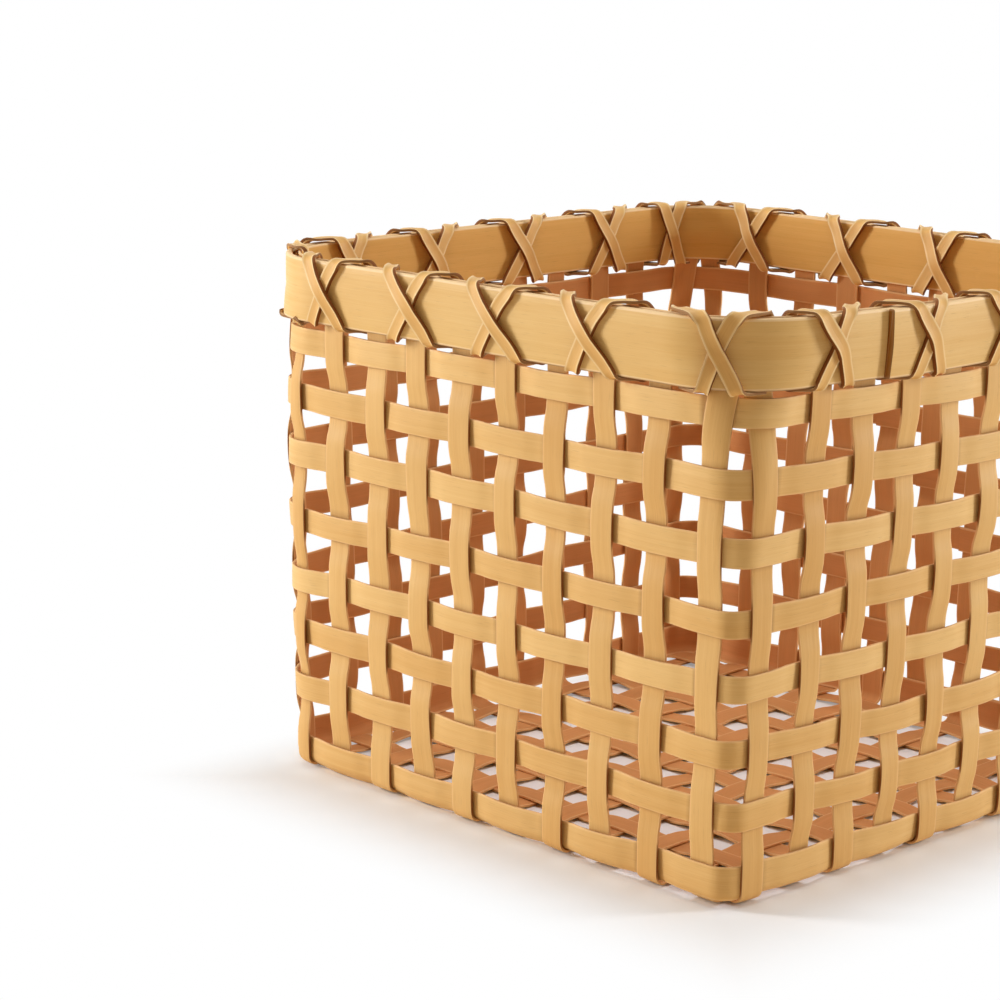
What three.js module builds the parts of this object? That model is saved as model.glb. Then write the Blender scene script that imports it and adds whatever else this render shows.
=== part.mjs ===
import * as THREE from "three";

// Square storage basket woven from flat bamboo strips, in millimetres.
// It stands on the ground at the origin, mouth up. The front wall faces -Y, the right wall +X.
// Every strip is a chain of four-cornered sections, so it keeps its own width and thickness
// while it bends, leans and passes over and under its neighbours.

// Driving sizes
const BASE_SIDE = 248; // between the middles of opposite walls at the foot
const MOUTH_SIDE = 258; // the same at the rim's top edge
const STAKES_PER_SIDE = 10;
const CORNER_SPACE = 14; // middle of the last stake to the wall round the corner
const STAKE_WIDTH = 11.4;
const STAKE_THICKNESS = 1.0;
const BEND_RADIUS = 2.5; // stake turning from the wall into the base
const WEAVER_COUNT = 8;
const WEAVER_PITCH = 24;
const WEAVER_WIDTH = 10.2;
const WEAVER_THICKNESS = 1.0;
const RIM_GAP = 3.0; // top weaver's upper edge to the outer band
const OUTER_BAND_HEIGHT = 25;
const OUTER_BAND_THICKNESS = 2.6;
const INNER_BAND_HEIGHT = 22;
const INNER_BAND_THICKNESS = 2.4;
const MOUTH_ROUNDING = 1.43; // rim corner radius as a share of the corner space
const BAND_LAP = 45; // length over which a band's two ends overlap
const OUTER_LAP_STEP = 0.9; // how far the outer band's upper end stands proud
const OUTER_LAP_PLACE = -54; // where that end lies along the right wall, from its middle
const LASHING_WIDTH = 5.0; // measured along the rim
const LASHING_THICKNESS = 0.8;
const LASHING_SPREAD = 8.5; // half the width of a cross at the rim's top edge
const CLEARANCE = 0.3; // between neighbouring strips

// Derived sizes
const UP = new THREE.Vector3(0, 0, 1);
const MIDDLE_STAKE = (STAKES_PER_SIDE - 1) / 2;
const STAKES_ROUND = 4 * STAKES_PER_SIDE;
const LOW_LEVEL = STAKE_THICKNESS / 2; // base strips lie at one of two levels
const HIGH_LEVEL = LOW_LEVEL + STAKE_THICKNESS + CLEARANCE;
const FIRST_WEAVER = HIGH_LEVEL + BEND_RADIUS + WEAVER_WIDTH / 2;
const WEAVER_LIFT = (STAKE_THICKNESS + WEAVER_THICKNESS) / 2 + CLEARANCE;
const FLAT_HALF = STAKE_WIDTH / 2 + 0.5; // a strip stays flat this far past a crossing's middle
const TOP_WEAVER = FIRST_WEAVER + (WEAVER_COUNT - 1) * WEAVER_PITCH;
const RIM_FOOT = TOP_WEAVER + WEAVER_WIDTH / 2 + RIM_GAP;
const RIM_TOP = RIM_FOOT + OUTER_BAND_HEIGHT;
const STAKE_TOP = RIM_TOP - 1;
const INNER_BAND_FOOT = RIM_TOP - INNER_BAND_HEIGHT;
const LEAN_START = TOP_WEAVER - 2 * WEAVER_PITCH; // above this the corner stakes turn to the rim
const RIM_RADIUS = CORNER_SPACE * MOUTH_ROUNDING;
// The flat corner stakes reach furthest at their edges, so the outer band clears those.
const STAKE_EDGE_REACH = Math.hypot(RIM_RADIUS + STAKE_THICKNESS / 2, STAKE_WIDTH / 2) - RIM_RADIUS;
const OUTER_SEAT = STAKE_EDGE_REACH + CLEARANCE;
const INNER_SEAT = STAKE_THICKNESS / 2 + CLEARANCE;
const OUTER_FACE = OUTER_SEAT + OUTER_BAND_THICKNESS;
const INNER_FACE = INNER_SEAT + INNER_BAND_THICKNESS;
const LASHING_GAP = CLEARANCE * Math.SQRT2; // keeps the clearance over a band's square edge
const LASHING_LIFT = LASHING_THICKNESS + CLEARANCE; // one strand riding over the other

const lerp = THREE.MathUtils.lerp;

// Walls
const halfSide = (z) => lerp(BASE_SIDE, MOUTH_SIDE, z / RIM_TOP) / 2;
const stakePlace = (stake, z) => ((stake - MIDDLE_STAKE) * (halfSide(z) - CORNER_SPACE)) / MIDDLE_STAKE;

function onFace(face, along, out, z) {
  return new THREE.Vector3(along, -out, z).applyAxisAngle(UP, (face * Math.PI) / 2);
}

function cornerRadius(z) {
  const climb = THREE.MathUtils.clamp((z - LEAN_START) / (RIM_FOOT - LEAN_START), 0, 1);
  return lerp(CORNER_SPACE, Math.max(RIM_RADIUS, CORNER_SPACE), climb * climb);
}

// Where a stake stands at a height: its middle, the way along the wall and the way out of it.
function stakePose(face, stake, z) {
  const place = stakePlace(stake, z);
  const half = halfSide(z);
  const radius = cornerRadius(z);
  const pastStraight = Math.max(0, Math.abs(place) - (half - radius));
  const turn = Math.asin(pastStraight / radius) * Math.sign(place);
  return {
    point: onFace(face, place, half - radius + radius * Math.cos(turn), z),
    along: onFace(face, Math.cos(turn), -Math.sin(turn), 0),
    out: onFace(face, Math.sin(turn), Math.cos(turn), 0),
  };
}

// Rows count from the bottom. Stakes and rows alternate all the way round.
const standsOutside = (ringStake, row) => (ringStake + row) % 2 === 0;

const offset = (point, direction, distance) => point.clone().addScaledVector(direction, distance);

// A closed strip from sections of four corners: outer and inner on one edge, inner and outer on the other.
function stripGeometry(sections) {
  const points = sections.flat();
  const index = [0, 1, 2, 0, 2, 3];
  for (let start = 0; start + 4 < points.length; start += 4) {
    for (let corner = 0; corner < 4; corner += 1) {
      const here = start + corner;
      const beside = start + ((corner + 1) % 4);
      index.push(here, here + 4, beside + 4, here, beside + 4, beside);
    }
  }
  const last = points.length - 4;
  index.push(last, last + 2, last + 1, last, last + 3, last + 2);
  const indexed = new THREE.BufferGeometry().setFromPoints(points).setIndex(index);
  const geometry = indexed.toNonIndexed();
  geometry.computeVertexNormals();
  return geometry;
}

// Stakes: down one wall, across the base and up the opposite wall
function stakeSection(point, along, out) {
  const halfWidth = STAKE_WIDTH / 2;
  const halfThickness = STAKE_THICKNESS / 2;
  const plus = offset(point, along, halfWidth);
  const minus = offset(point, along, -halfWidth);
  return [
    offset(plus, out, halfThickness),
    offset(plus, out, -halfThickness),
    offset(minus, out, -halfThickness),
    offset(minus, out, halfThickness),
  ];
}

// Heights at which a stake is set out: its two ends, and each weaver's edges where a corner stake leans.
function stakeHeights(stake, foot) {
  const heights = [foot];
  if (stake === 0 || stake === STAKES_PER_SIDE - 1) {
    for (let row = 0; row < WEAVER_COUNT; row += 1) {
      const middle = FIRST_WEAVER + row * WEAVER_PITCH;
      if (middle + WEAVER_PITCH > LEAN_START) {
        heights.push(middle - WEAVER_WIDTH / 2, middle + WEAVER_WIDTH / 2);
      }
    }
    heights.push(RIM_FOOT);
  }
  heights.push(STAKE_TOP);
  return heights.filter((height, place) => place === 0 || height > heights[place - 1] + 0.01);
}

// Sections from the base up one wall, with the plus edge on the side named.
function wallSections(face, stake, level, edge) {
  const foot = level + BEND_RADIUS;
  const bottom = stakePose(face, stake, foot);
  const sections = [];
  const steps = 4;
  for (let step = 0; step < steps; step += 1) {
    const turn = ((Math.PI / 2) * step) / steps;
    const inward = BEND_RADIUS * (1 - Math.sin(turn));
    const point = offset(bottom.point, bottom.out, -inward);
    point.z = foot - BEND_RADIUS * Math.cos(turn);
    const out = bottom.out.clone().multiplyScalar(Math.sin(turn));
    out.z = -Math.cos(turn);
    sections.push(stakeSection(point, bottom.along.clone().multiplyScalar(edge), out));
  }
  for (const height of stakeHeights(stake, foot)) {
    const pose = stakePose(face, stake, height);
    sections.push(stakeSection(pose.point, pose.along.multiplyScalar(edge), pose.out));
  }
  return sections;
}

// The base weave: lengthwise strips lie high where crosswise strips lie low.
function stakeGeometry(startFace, number, highFirst) {
  const startStake = startFace === 0 ? number : STAKES_PER_SIDE - 1 - number;
  const levelAt = (crossing) => ((number + crossing) % 2 === highFirst ? HIGH_LEVEL : LOW_LEVEL);
  const down = wallSections(startFace, startStake, levelAt(0), 1).reverse();
  const across = onFace(startFace, 1, 0, 0);
  const below = UP.clone().negate();
  const base = [];
  for (let crossing = 0; crossing < STAKES_PER_SIDE; crossing += 1) {
    const middle = -stakePlace(crossing, 0);
    for (const edge of [FLAT_HALF, -FLAT_HALF]) {
      const point = onFace(startFace, stakePlace(startStake, 0), middle + edge, levelAt(crossing));
      base.push(stakeSection(point, across, below));
    }
  }
  const endStake = STAKES_PER_SIDE - 1 - startStake;
  const up = wallSections((startFace + 2) % 4, endStake, levelAt(STAKES_PER_SIDE - 1), -1);
  return stripGeometry([...down, ...base, ...up]);
}

// Weavers: one strip round the walls, in and out of the stakes
function bridge(from, to, share) {
  const turn = from.along.angleTo(to.along);
  const chord = from.point.distanceTo(to.point);
  const handle = (chord * (4 / 3) * Math.tan(turn / 4)) / (2 * Math.sin(turn / 2));
  const curve = new THREE.CubicBezierCurve3(
    from.point,
    offset(from.point, from.along, handle),
    offset(to.point, to.along, -handle),
    to.point,
  );
  const along = curve.getTangent(share).setZ(0).normalize();
  return { point: curve.getPoint(share), along, out: along.clone().cross(UP) };
}

function weaverPose(ringStake, row, edge, z) {
  const face = Math.floor(ringStake / STAKES_PER_SIDE) % 4;
  const pose = stakePose(face, ringStake % STAKES_PER_SIDE, z);
  const lift = standsOutside(ringStake, row) ? -WEAVER_LIFT : WEAVER_LIFT;
  pose.point.addScaledVector(pose.along, edge * FLAT_HALF).addScaledVector(pose.out, lift);
  return pose;
}

// The strip's middle at its lower and upper edge, two places to a stake and three more round a corner.
function weaverCourse(row, firstStake, lastStake) {
  const middle = FIRST_WEAVER + row * WEAVER_PITCH;
  const edges = [middle - WEAVER_WIDTH / 2, middle + WEAVER_WIDTH / 2];
  const course = [];
  for (let ringStake = firstStake; ringStake <= lastStake; ringStake += 1) {
    for (const edge of [-1, 1]) {
      course.push(edges.map((z) => weaverPose(ringStake, row, edge, z)));
    }
    const cornerNext = (ringStake + 1) % STAKES_PER_SIDE === 0 && ringStake < lastStake;
    if (cornerNext) {
      for (const share of [0.25, 0.5, 0.75]) {
        course.push(
          edges.map((z) =>
            bridge(weaverPose(ringStake, row, 1, z), weaverPose(ringStake + 1, row, -1, z), share),
          ),
        );
      }
    }
  }
  return course;
}

// Both ends are pared to half thickness where they lap over two stakes of the back wall.
function weaverGeometry(row) {
  const firstStake = 2 * STAKES_PER_SIDE + 2 + (row % 3);
  const course = weaverCourse(row, firstStake, firstStake + STAKES_ROUND + 1);
  const face = WEAVER_THICKNESS / 2;
  const lapPlaces = 4;
  const sections = course.map(([low, high], place) => {
    const inner = place < lapPlaces ? CLEARANCE / 2 : -face;
    const outer = place >= course.length - lapPlaces ? -CLEARANCE / 2 : face;
    return [
      offset(high.point, high.out, outer),
      offset(high.point, high.out, inner),
      offset(low.point, low.out, inner),
      offset(low.point, low.out, outer),
    ];
  });
  return stripGeometry(sections);
}

// Rim track: a ring of places round the mouth, measured along the stakes' middle
const CORNER_STEPS = 6;
const RING_PLACES = [];
for (let corner = 0; corner < 4; corner += 1) {
  for (let step = 0; step <= CORNER_STEPS; step += 1) {
    RING_PLACES.push({ corner, turn: ((Math.PI / 2) * step) / CORNER_STEPS });
  }
}

function ringVertex(place, z, reach) {
  const { corner, turn } = RING_PLACES[place % RING_PLACES.length];
  const centre = halfSide(z) - RIM_RADIUS;
  const radius = RIM_RADIUS + reach;
  return onFace(corner, centre + radius * Math.sin(turn), centre + radius * Math.cos(turn), z);
}

const RING_LENGTHS = [0];
for (let place = 0; place < RING_PLACES.length; place += 1) {
  const stretch = ringVertex(place, RIM_TOP, 0).distanceTo(ringVertex(place + 1, RIM_TOP, 0));
  RING_LENGTHS.push(RING_LENGTHS[place] + stretch);
}
const RING_ROUND = RING_LENGTHS[RING_PLACES.length];

function ringPoint(distance, z, reach) {
  const wrapped = THREE.MathUtils.euclideanModulo(distance, RING_ROUND);
  let place = 0;
  while (RING_LENGTHS[place + 1] <= wrapped) {
    place += 1;
  }
  const share = (wrapped - RING_LENGTHS[place]) / (RING_LENGTHS[place + 1] - RING_LENGTHS[place]);
  return ringVertex(place, z, reach).lerp(ringVertex(place + 1, z, reach), share);
}

// Distances of the track's own corners between two distances.
function ringFolds(start, end) {
  const folds = [];
  for (let round = -1; round <= 2; round += 1) {
    folds.push(...RING_LENGTHS.slice(0, -1).map((length) => length + round * RING_ROUND));
  }
  return folds.filter((fold) => fold > start && fold < end);
}

// Distance along the track of a place on a wall. The track starts at the end of the front wall.
function ringDistance(face, along) {
  const straight = halfSide(RIM_TOP) - RIM_RADIUS;
  const faceMiddle = ((face - 0.5) * RING_ROUND) / 4 + RING_LENGTHS[CORNER_STEPS] / 2;
  const pastStraight = THREE.MathUtils.clamp(Math.abs(along) - straight, 0, RIM_RADIUS);
  const round = RIM_RADIUS * Math.asin(pastStraight / RIM_RADIUS);
  return faceMiddle + Math.sign(along) * (Math.min(Math.abs(along), straight) + round);
}

function ringStakeDistance(ringStake) {
  const face = Math.floor(ringStake / STAKES_PER_SIDE);
  return ringDistance(face, stakePlace(ringStake % STAKES_PER_SIDE, RIM_TOP));
}

// Rim bands: each is one strip whose pared ends lap over each other
function bandGeometry(start, foot, thickness, step, tip, reachOf) {
  const tailFace = (share) => lerp(thickness + step - tip - CLEARANCE, tip, share);
  const stations = [
    { distance: start, back: tailFace(0) + CLEARANCE, face: thickness + step },
    { distance: start + BAND_LAP, back: tailFace(1) + CLEARANCE, face: thickness },
    { distance: start + BAND_LAP + CLEARANCE, back: 0, face: thickness },
    { distance: start + RING_ROUND - CLEARANCE, back: 0, face: thickness },
    { distance: start + RING_ROUND, back: 0, face: tailFace(0) },
    { distance: start + RING_ROUND + BAND_LAP, back: 0, face: tailFace(1) },
  ];
  const between = (distance) => {
    const next = stations.findIndex((station) => station.distance >= distance);
    const [from, to] = [stations[next - 1], stations[next]];
    const share = (distance - from.distance) / (to.distance - from.distance);
    return { distance, back: lerp(from.back, to.back, share), face: lerp(from.face, to.face, share) };
  };
  const folds = ringFolds(start, start + RING_ROUND + BAND_LAP)
    .filter((fold) => stations.every((station) => Math.abs(station.distance - fold) > 0.05))
    .map(between);
  const course = [...stations, ...folds].sort((a, b) => a.distance - b.distance);
  const sections = course.map(({ distance, back, face }) => {
    const reaches = [reachOf(back), reachOf(face)];
    const outer = Math.max(...reaches);
    const inner = Math.min(...reaches);
    return [
      ringPoint(distance, RIM_TOP, outer),
      ringPoint(distance, RIM_TOP, inner),
      ringPoint(distance, foot, inner),
      ringPoint(distance, foot, outer),
    ];
  });
  return stripGeometry(sections);
}

const OUTER_LAP_START = ringDistance(1, OUTER_LAP_PLACE);

// How far the outer band stands proud at a distance, over the width of a lashing strip.
function lapRise(distance) {
  const reach = LASHING_WIDTH / 2 + 1;
  const past = (place) => THREE.MathUtils.euclideanModulo(place - OUTER_LAP_START, RING_ROUND);
  const riseAt = (place) => OUTER_LAP_STEP * Math.max(0, 1 - past(place) / BAND_LAP);
  const startInside = past(distance + reach) < 2 * reach;
  return startInside ? OUTER_LAP_STEP : Math.max(riseAt(distance - reach), riseAt(distance + reach));
}

// Lashing: two strands wind round the rim, crossing over every second stake inside and out
const CROSSED_STAKES = [];
for (let ringStake = 0; ringStake < STAKES_ROUND; ringStake += 1) {
  if (standsOutside(ringStake, WEAVER_COUNT - 1)) {
    CROSSED_STAKES.push(ringStake);
  }
}

// Distance of a stake that may lie past either end of one round.
function stakeAlong(ringStake) {
  const rounds = Math.floor(ringStake / STAKES_ROUND);
  return ringStakeDistance(ringStake - rounds * STAKES_ROUND) + rounds * RING_ROUND;
}

// The opening between two neighbouring stakes, where a strand passes under the rim.
function gateAfter(ringStake) {
  const before = stakeAlong(ringStake);
  const after = stakeAlong(ringStake + 1);
  const room = after - before - STAKE_WIDTH - 2 * CLEARANCE;
  return { distance: (before + after) / 2, width: Math.min(LASHING_WIDTH, room) };
}

// One section of a strand, lying on a surface that faces out, up, in or down.
function lashingSection(distance, width, z, reach, faceOut, faceUp, edge) {
  const corner = (side, height) =>
    ringPoint(
      distance + (side * edge * width) / 2,
      z + faceUp * height,
      reach + faceOut * height,
    );
  return [
    corner(1, LASHING_THICKNESS),
    corner(1, 0),
    corner(-1, 0),
    corner(-1, LASHING_THICKNESS),
  ];
}

// A run up or down one side of the rim, in finer steps where the rim turns a corner.
// The strand on top is lifted over the crossing in the run's middle.
function lashingRun(from, to, side, lift, edge) {
  const start = Math.min(from.distance, to.distance) - LASHING_WIDTH;
  const end = Math.max(from.distance, to.distance) + LASHING_WIDTH;
  const turning = ringFolds(start, end).length > 0;
  const steps = turning ? 6 : 3;
  const gap = turning ? LASHING_GAP + CLEARANCE : LASHING_GAP; // a flat strip stands off a round corner
  const sections = [];
  for (let step = 0; step <= steps; step += 1) {
    const share = step / steps;
    const distance = lerp(from.distance, to.distance, share);
    const width = lerp(from.width, to.width, share);
    const raised = share > 0.15 && share < 0.85 ? lift : 0;
    const face = side > 0 ? OUTER_FACE + lapRise(distance) : INNER_FACE;
    const reach = side * (face + gap + raised);
    sections.push(lashingSection(distance, width, lerp(from.z, to.z, share), reach, side, 0, edge));
  }
  return sections;
}

// A strand crossing over the rim's top or under its foot, from one face to the other.
function lashingPass(from, to, startSide, upward, edge) {
  const z = upward > 0 ? RIM_TOP + LASHING_GAP : RIM_FOOT - LASHING_GAP;
  return [from, to].map((end, place) => {
    const outside = (place === 0) === (startSide > 0);
    const reach = outside ? OUTER_FACE + lapRise(end.distance) : -INNER_FACE;
    return lashingSection(end.distance, end.width, z, reach, 0, upward, edge);
  });
}

// The rising strand climbs the outside from left to right; the falling strand comes down it.
function lashingSections(rising) {
  const edge = rising ? -1 : 1;
  const lift = rising ? 0 : LASHING_LIFT;
  const gateOf = (ringStake) => gateAfter(rising ? ringStake - 1 : ringStake);
  const sections = [];
  CROSSED_STAKES.forEach((ringStake, turn) => {
    const middle = stakeAlong(ringStake);
    const following = stakeAlong(ringStake + 2);
    const width = LASHING_WIDTH;
    const foot = (gate) => ({ ...gate, z: RIM_FOOT });
    const head = (distance) => ({ distance, width, z: RIM_TOP });
    const start = foot(gateOf(ringStake));
    const last = turn === CROSSED_STAKES.length - 1;
    if (rising) {
      const outTop = head(middle + LASHING_SPREAD);
      const inTop = head(middle + 2 * LASHING_SPREAD);
      const next = foot(gateOf(ringStake + 2));
      sections.push(...lashingRun(start, outTop, 1, lift, edge));
      sections.push(...lashingPass(outTop, inTop, 1, 1, edge));
      sections.push(...lashingRun(inTop, next, -1, lift, edge));
      if (!last) {
        sections.push(...lashingPass(next, next, -1, -1, edge));
      }
    } else {
      const outTop = head(middle - LASHING_SPREAD);
      const inTop = head(following - 2 * LASHING_SPREAD);
      const nextTop = head(following - LASHING_SPREAD);
      sections.push(...lashingRun(outTop, start, 1, lift, edge));
      sections.push(...lashingPass(start, start, 1, -1, edge));
      sections.push(...lashingRun(start, inTop, -1, lift, edge));
      if (!last) {
        sections.push(...lashingPass(inTop, nextTop, -1, 1, edge));
      }
    }
  });
  return sections;
}

// Least distance between corner points of a strand that lie more than half a turn apart.
function leastGapToItself(sections) {
  const apart = Math.floor(sections.length / CROSSED_STAKES.length / 2);
  let least = Infinity;
  for (let here = 0; here < sections.length; here += 1) {
    for (let there = here + apart; there < sections.length; there += 1) {
      for (const a of sections[here]) {
        for (const b of sections[there]) {
          least = Math.min(least, a.distanceTo(b));
        }
      }
    }
  }
  return least;
}

// Assembly
const COLOURS = {
  bamboo_stake: 0xe2b97c,
  bamboo_weaver: 0xdfb275,
  bamboo_rim: 0xe0b777,
  bamboo_lashing: 0xd7a765,
};

function addStrip(basket, name, geometry, slot) {
  const material = new THREE.MeshStandardMaterial({
    name: slot,
    color: COLOURS[slot],
    roughness: 0.55,
    metalness: 0,
  });
  const mesh = new THREE.Mesh(geometry, material);
  mesh.name = name;
  basket.add(mesh);
}

const basket = new THREE.Group();
basket.name = "bamboo_storage_basket";
const numbered = (word, number) => `${word}_${String(number + 1).padStart(2, "0")}`;

for (let number = 0; number < STAKES_PER_SIDE; number += 1) {
  addStrip(basket, numbered("stake_lengthwise", number), stakeGeometry(0, number, 0), "bamboo_stake");
  addStrip(basket, numbered("stake_crosswise", number), stakeGeometry(3, number, 1), "bamboo_stake");
}
for (let row = 0; row < WEAVER_COUNT; row += 1) {
  addStrip(basket, numbered("weaver", row), weaverGeometry(row), "bamboo_weaver");
}

const outerBand = bandGeometry(
  OUTER_LAP_START,
  RIM_FOOT,
  OUTER_BAND_THICKNESS,
  OUTER_LAP_STEP,
  OUTER_LAP_STEP - CLEARANCE,
  (height) => OUTER_SEAT + height,
);
const innerBand = bandGeometry(
  ringDistance(0, 0),
  INNER_BAND_FOOT,
  INNER_BAND_THICKNESS,
  0,
  INNER_BAND_THICKNESS / 4,
  (height) => -INNER_SEAT - height,
);
addStrip(basket, "rim_outer_band", outerBand, "bamboo_rim");
addStrip(basket, "rim_inner_band", innerBand, "bamboo_rim");

for (const [name, rising] of [["rim_lashing_rising", true], ["rim_lashing_falling", false]]) {
  const sections = lashingSections(rising);
  console.log(`${name}: least gap to itself ${leastGapToItself(sections).toFixed(2)} mm`);
  addStrip(basket, name, stripGeometry(sections), "bamboo_lashing");
}

export default basket;
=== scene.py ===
# %% [markdown]
# Bamboo storage basket
#
# An open square basket, plain-woven from split bamboo. Twenty flat stakes run down one wall,
# through the base and up the opposite wall. Eight weavers go round them. Two bands clamp the
# stakes' ends, and two strands bind the bands in crosses.
# The solid model gives every strip its place. This lesson gives each its real form: a bent strip
# with rounded edges, a little unevenness, and grain along its length.

import bpy
import numpy as np
from mathutils import Matrix


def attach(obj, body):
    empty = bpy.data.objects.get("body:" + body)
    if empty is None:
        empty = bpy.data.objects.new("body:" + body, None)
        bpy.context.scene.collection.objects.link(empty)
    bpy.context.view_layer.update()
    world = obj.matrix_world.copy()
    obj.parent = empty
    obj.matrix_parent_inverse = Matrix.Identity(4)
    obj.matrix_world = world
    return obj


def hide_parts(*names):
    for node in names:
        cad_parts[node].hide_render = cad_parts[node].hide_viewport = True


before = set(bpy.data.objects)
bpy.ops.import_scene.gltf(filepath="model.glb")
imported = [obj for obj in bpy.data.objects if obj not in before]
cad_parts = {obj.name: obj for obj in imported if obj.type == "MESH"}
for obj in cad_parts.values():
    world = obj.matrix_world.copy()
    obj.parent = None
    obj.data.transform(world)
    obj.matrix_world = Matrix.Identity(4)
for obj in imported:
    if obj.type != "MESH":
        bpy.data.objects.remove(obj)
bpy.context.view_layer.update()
print("nodes in the solid model:", len(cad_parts))

# %% [markdown]
# The camera
#
# The photograph looks at one upright corner from a little above the rim, through a long lens.
# A camera could be placed by eye. This one comes from fitting the basket's corners, rows and
# stakes to the picture, which gave the three angles, the place and the lens together.

# %% Camera, its place in millimetres
MM = 0.001
CAMERA_PLACE = np.array([794.4, -888.1, 373.3])
CAMERA_AZIMUTH = np.radians(45.929)
CAMERA_ELEVATION = np.radians(12.477)
CAMERA_ROLL = np.radians(0.799)
LENS_TO_FRAME = 3.0079
SENSOR_WIDTH = 36.0
SIGHT_METRES = 20.0


def camera_axes(azimuth, elevation, roll):
    """The camera's right, up and backward directions: turn about the upright, tilt, then roll."""
    flat = np.cos(elevation)
    back = np.array([np.sin(azimuth) * flat, -np.cos(azimuth) * flat, np.sin(elevation)])
    level = np.array([np.cos(azimuth), np.sin(azimuth), 0.0])
    rise = np.cross(back, level)
    right = np.cos(roll) * level + np.sin(roll) * rise
    up = np.cos(roll) * rise - np.sin(roll) * level
    return right, up, back


def placed(axes, place):
    """The matrix that turns an object's own axes to three directions and puts it at a place."""
    matrix = np.eye(4)
    matrix[:3, :3] = np.stack(axes, axis=1)
    matrix[:3, 3] = place
    return Matrix(matrix.tolist())


scene = bpy.context.scene
camera_data = bpy.data.cameras.new("photo_camera")
camera_data.sensor_width = SENSOR_WIDTH
camera_data.lens = LENS_TO_FRAME * SENSOR_WIDTH
camera_data.clip_end = SIGHT_METRES
camera = bpy.data.objects.new("photo_camera", camera_data)
scene.collection.objects.link(camera)
photo_axes = camera_axes(CAMERA_AZIMUTH, CAMERA_ELEVATION, CAMERA_ROLL)
camera.matrix_world = placed(photo_axes, CAMERA_PLACE * MM)
scene.camera = camera
print("lens in millimetres:", round(camera_data.lens, 1))

# %% [markdown]
# The walls as one surface
#
# Every strip lies on the same four walls, which lean out a little and turn tight corners at the
# foot and rounder ones at the rim. Each strip could be bent by hand with curves and modifiers.
# Here the walls are one function instead: a place round the ring, a height and a distance out
# give a point. A strip is then only a path over that surface, and strips that should touch do.

# %% Sizes of the walls, in millimetres
BASE_SIDE = 248.0
MOUTH_SIDE = 258.0
STAKES_PER_SIDE = 10
CORNER_SPACE = 14.0
STAKE_WIDTH = 10.7
STRIP_THICKNESS = 1.0
WEAVER_COUNT = 8
WEAVER_PITCH = 24.0
WEAVER_WIDTH = 10.2
FIRST_WEAVER = 9.4
RIM_FOOT = 185.5
RIM_TOP = 210.5
STAKE_SHORTFALL = 1.0
BASE_LEVEL = 1.4
BASE_BEND = 3.8
RIM_RADIUS = 35.0

# The foot's corner radii, from the corner between front and right on round.
FOOT_RADII = np.array([8.0, 12.0, 12.0, 21.5])
CORNER_POWER = 6

STAKE_TOP = RIM_TOP - STAKE_SHORTFALL
RIM_MIDDLE = (RIM_FOOT + RIM_TOP) / 2
FOOT = BASE_LEVEL + BASE_BEND
MIDDLE_STAKE = (STAKES_PER_SIDE - 1) / 2
STAKES_ROUND = 4 * STAKES_PER_SIDE
print("stakes round the walls:", STAKES_ROUND)


# %% A point on the walls
def half_side(z):
    """Half the distance between opposite walls: a straight line from the foot to the mouth."""
    return (BASE_SIDE + (MOUTH_SIDE - BASE_SIDE) * z / RIM_TOP) / 2


def corner_radius(ring, z):
    """The radius of the corner nearest to a place: its own at the foot, and growing by a power
    of the height to that of the stiff rim."""
    share = np.clip(z / RIM_MIDDLE, 0.0, 1.0)
    foot = FOOT_RADII[np.asarray(np.floor(ring), dtype=int) % 4]
    return foot + (RIM_RADIUS - foot) * share**CORNER_POWER


def ring_scale(ring, z):
    """Millimetres to one ring unit: twice the way from a wall's middle to its corner's middle,
    which is a straight and an eighth of a turn."""
    radius = corner_radius(ring, z)
    return 2 * (half_side(z) - radius) + np.pi / 2 * radius


def bent(run, z, out, radius):
    """Along and outward from a wall's middle: straight first, then round the corner's circle."""
    straight = half_side(z) - radius
    turn = np.sign(run) * np.maximum(np.abs(run) - straight, 0.0) / radius
    reach = radius + out
    along = np.clip(run, -straight, straight) + reach * np.sin(turn)
    return along, straight + reach * np.cos(turn)


def on_face(face, along, out, z):
    """A point given along and out from a wall, turned a quarter for each face: 0 front, 1 right."""
    turn = np.asarray(face) * np.pi / 2
    x = along * np.cos(turn) + out * np.sin(turn)
    y = along * np.sin(turn) - out * np.cos(turn)
    return np.stack(np.broadcast_arrays(x, y, z), axis=-1)


def foot_tuck(z):
    """How far the walls draw in below the foot line, by the quarter circle of the stakes' bend."""
    drop = np.clip((FOOT - z) / BASE_BEND, 0.0, 1.0)
    return BASE_BEND * (1 - np.sqrt(1 - drop**2))


def wall(ring, z, out):
    """A point on the walls: ring counts walls from the front's middle, so 0.5 is the corner
    between front and right, and out moves the point off the walls."""
    face = np.round(ring)
    run = (ring - face) * ring_scale(ring, z)
    along, outward = bent(run, z, out - foot_tuck(z), corner_radius(ring, z))
    return on_face(face, along, outward, z)


RIM_WALL = float(ring_scale(1.0, RIM_TOP))
print("one wall round its corners:", round(RIM_WALL, 1), "mm at the rim")

# %% [markdown]
# Unevenness
#
# A hand-woven wall is never a drawing. Stakes stand a little off their even spacing, rows rise
# and dip, and some stakes are pulled straighter than others, so the weavers bend more there.
# A noise texture could push the vertices about, but then neighbours would cut each other.
# One seeded generator makes the small numbers once, and stakes and weavers both read them.

# %% How stakes stand, in millimetres
SEED = 46
DRIFT_SPREAD = 0.45
CORNER_PUSH = 1.0
chance = np.random.default_rng(SEED)
stake_drift = chance.normal(0.0, DRIFT_SPREAD, STAKES_ROUND)
stake_drift[0::STAKES_PER_SIDE] -= CORNER_PUSH
stake_drift[STAKES_PER_SIDE - 1 :: STAKES_PER_SIDE] += CORNER_PUSH

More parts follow.
